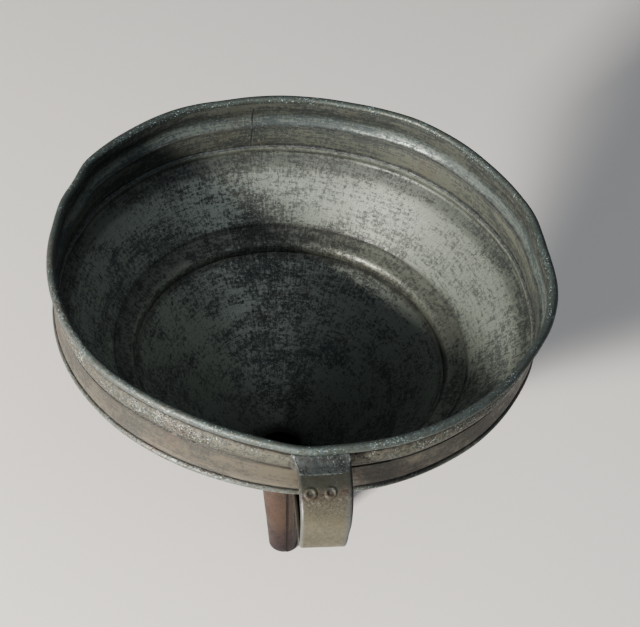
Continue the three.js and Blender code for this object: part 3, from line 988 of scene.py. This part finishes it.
def solderBar(name, node, outline, width, slices, lump, flare=0.0):
    # a fillet across the strap: its outline is filled, drawn out sideways and rounded
    bar = drawLine(name, sideLine(outline))
    pick(bar)
    bpy.ops.object.mode_set(mode="EDIT")
    bpy.ops.mesh.select_all(action="SELECT")
    bpy.ops.mesh.edge_face_add()
    bpy.ops.transform.translate(value=(0, -width / 2, 0))
    for i in range(slices):
        bpy.ops.mesh.extrude_region_move(TRANSFORM_OT_translate={"value": (0, width / slices, 0)})
    bpy.ops.object.mode_set(mode="OBJECT")
    tidyMesh(bar)
    applyModifier(bar, "SUBSURF", levels=2, render_levels=2)
    if flare:                                       # the joint runs out along the rim on one side
        movePoints(bar, lambda points: flared(points, width, flare))
    ripple(bar, 0.005, lump, 2)
    turnAbout(bar, -90)
    movePoints(bar, outOfRound)
    smoothShade(bar, 60)
    finish(bar, node, solder)


def flared(points, width, reach):
    moved = points.copy()
    nearRim = np.clip((rimR + 5 * mm - points[:, 0]) / (5 * mm), 0, 1)
    side = np.clip(-points[:, 1] / (width / 2), -0.3, 1)
    moved[:, 1] -= reach * nearRim * side * np.abs(side)
    return moved


lipFace = coneLook["lip"] - sheet / 2
lipEdge = rimZ - coneLook["lipTop"]
solderRing("innerSeam", "inner_seam_solder", [
    (bandLook["wall"] - sheet / 2 + 0.05 * mm, lipEdge - 0.2 * mm),
    (bandLook["wall"] - sheet / 2 + 0.05 * mm, lipEdge + 0.8 * mm),
    (lipFace + 0.45 * mm, lipEdge + 0.35 * mm),
    (lipFace + 0.15 * mm, lipEdge - 0.2 * mm),
], 240, 0.45 * mm, outOfRound)
footZ = bandFootZ + 0.3 * mm
solderRing("outerSeam", "outer_seam_solder", [
    (coneTopR + 1.3 * mm, footZ),
    (coneTopR - 1.6 * mm, coneZ(coneTopR - 1.6 * mm) - 0.3 * mm),
    (coneTopR - 3.2 * mm, coneZ(coneTopR - 3.2 * mm) - 0.45 * mm),
    (coneTopR - 1.0 * mm, footZ - 1.5 * mm),
], 240, 0.4 * mm, outOfRound)
solderRing("throatFillet", "throat_solder", [
    (10.8 * mm, -3.0 * mm),
    (10.7 * mm, 0.4 * mm),
    (14.2 * mm, coneZ(14.2 * mm) - 0.25 * mm),
    (12.1 * mm, -0.1 * mm),
], 120, 0.5 * mm, leaning)

seamInset = sheet * 0.5 + 0.12 * mm
bandSeamPath = [point for point in bandOutline(bandLook, seamInset)
                if rimZ - 25.0 * mm < point[1] < rimZ - 2.0 * mm and point[0] < rimR - 0.3 * mm]
solderRun("bandSeam", "band_seam_solder", bandSeamPath, 0.9 * mm, 0.2 * mm,
          bandLook["lapAzimuth"] + bandLook["lapWidth"] / 4 + 0.1, outOfRound, 0.12 * mm)
solderRun("coneSeam", "cone_seam_solder", coneWall(coneLook, 96 * mm, 13 * mm, sheet * 1.2, 90),
          2.0 * mm, 0.4 * mm, -88.4, outOfRound, 0.2 * mm)
spoutSeamPath = spoutLine(spoutLook, sheet * 0.9, -4 * mm, spoutEndZ + 1 * mm, 50)
solderRun("spoutSeam", "spout_seam_solder", spoutSeamPath,
          1.2 * mm, 0.4 * mm, -55, leaning, 0.2 * mm)

solderBar("strapTopSolder", "handle_top_solder", [
    (rimR + 0.2 * mm, rimZ - 1.0 * mm),
    (rimR + 1.9 * mm, rimZ - 1.6 * mm),
    (rimR + 3.2 * mm, rimZ - 3.8 * mm),
    (rimR + 5.4 * mm, rimZ - 4.7 * mm),
    (rimR + 7.6 * mm, rimZ - 5.45 * mm),
    (rimR + 7.2 * mm, rimZ - 6.0 * mm),
    (rimR + 3.0 * mm, rimZ - 5.4 * mm),
    (rimR - 1.0 * mm, rimZ - 5.2 * mm),
], strapLook["width"] * 0.98, 20, 1.0 * mm, 3.2 * mm)
slope = Vector((-1, -coneSlope)).normalized()
away = Vector((coneSlope, -1)).normalized()
footStart = Vector((strapLook["footEnd"], coneZ(strapLook["footEnd"])))
footCorners = [(-3.0, 0.2), (-2.6, 1.5), (0.6, 1.6), (3.4, 0.5), (3.6, 0.2)]
footOutline = [tuple(footStart + slope * along * mm + away * out * mm) for along, out in footCorners]
solderBar("strapFootSolder", "handle_foot_solder", footOutline, strapLook["width"] * 0.9, 12, 0.7 * mm)
print("solder made")


# Floor, light and camera

stageLook = {
    "floor": (0.74, 0.72, 0.69), "floorSize": 20.0, "sky": (0.86, 0.90, 1.0), "skyStrength": 0.2,
    "keyLight": {
        "azimuth": 221.5, "elevation": 19.5, "distance": 1.5, "size": 0.17, "power": 62,
        "color": (1.0, 0.95, 0.88),
    },
    "fillLight": {
        "azimuth": 300, "elevation": 60, "distance": 1.8, "size": 1.6, "power": 8,
        "color": (0.92, 0.96, 1.0),
    },
    "camera": {
        "azimuth": -10.16, "elevation": 44.86, "roll": 6.66, "distance": 0.7592, "lens": 101.25,
        "aim": (0.0107, -0.0019, rimZ - 0.0321),
    },
}


def makeFloor(look):
    deselect()
    bpy.ops.mesh.primitive_plane_add(size=look["floorSize"], location=(0, 0, spoutEndZ))
    floor = bpy.context.object
    floor.name = "floor"
    material = bpy.data.materials.new("paleFloor")
    material.use_nodes = True
    shader = material.node_tree.nodes["Principled BSDF"]
    shader.inputs["Base Color"].default_value = (*look["floor"], 1)
    shader.inputs["Roughness"].default_value = 0.7
    floor.data.materials.append(material)


def softBox(name, look, target):
    a = math.radians(look["azimuth"])
    e = math.radians(look["elevation"])
    light = bpy.data.lights.new(name, "AREA")
    light.size = look["size"]
    light.energy = look["power"]
    light.color = look["color"]
    obj = bpy.data.objects.new(name, light)
    way = Vector((math.cos(e) * math.cos(a), math.cos(e) * math.sin(a), math.sin(e)))
    obj.location = target + way * look["distance"]
    obj.rotation_euler = (-way).to_track_quat("-Z", "Y").to_euler()
    bpy.context.scene.collection.objects.link(obj)


def makeCamera(look):
    camera = bpy.data.cameras.new("camera")
    camera.lens = look["lens"]
    camera.sensor_width = 36
    obj = bpy.data.objects.new("camera", camera)
    turn = Euler((math.radians(90 - look["elevation"]), 0, math.radians(look["azimuth"]))).to_matrix()
    turn = turn @ Matrix.Rotation(math.radians(look["roll"]), 3, "Z")
    place = Vector(look["aim"]) + turn.col[2] * look["distance"]
    obj.matrix_world = Matrix.Translation(place) @ turn.to_4x4()
    bpy.context.scene.collection.objects.link(obj)
    bpy.context.scene.camera = obj


makeFloor(stageLook)
middle = Vector((0, 0, rimZ * 0.8))
for lightName in ("keyLight", "fillLight"):
    softBox(lightName, stageLook[lightName], middle)
sky = bpy.data.worlds.new("studio")
sky.use_nodes = True
sky.node_tree.nodes["Background"].inputs[0].default_value = (*stageLook["sky"], 1)
sky.node_tree.nodes["Background"].inputs[1].default_value = stageLook["skyStrength"]
bpy.context.scene.world = sky
bpy.context.scene.view_settings.look = "AgX - Medium High Contrast"
makeCamera(stageLook["camera"])
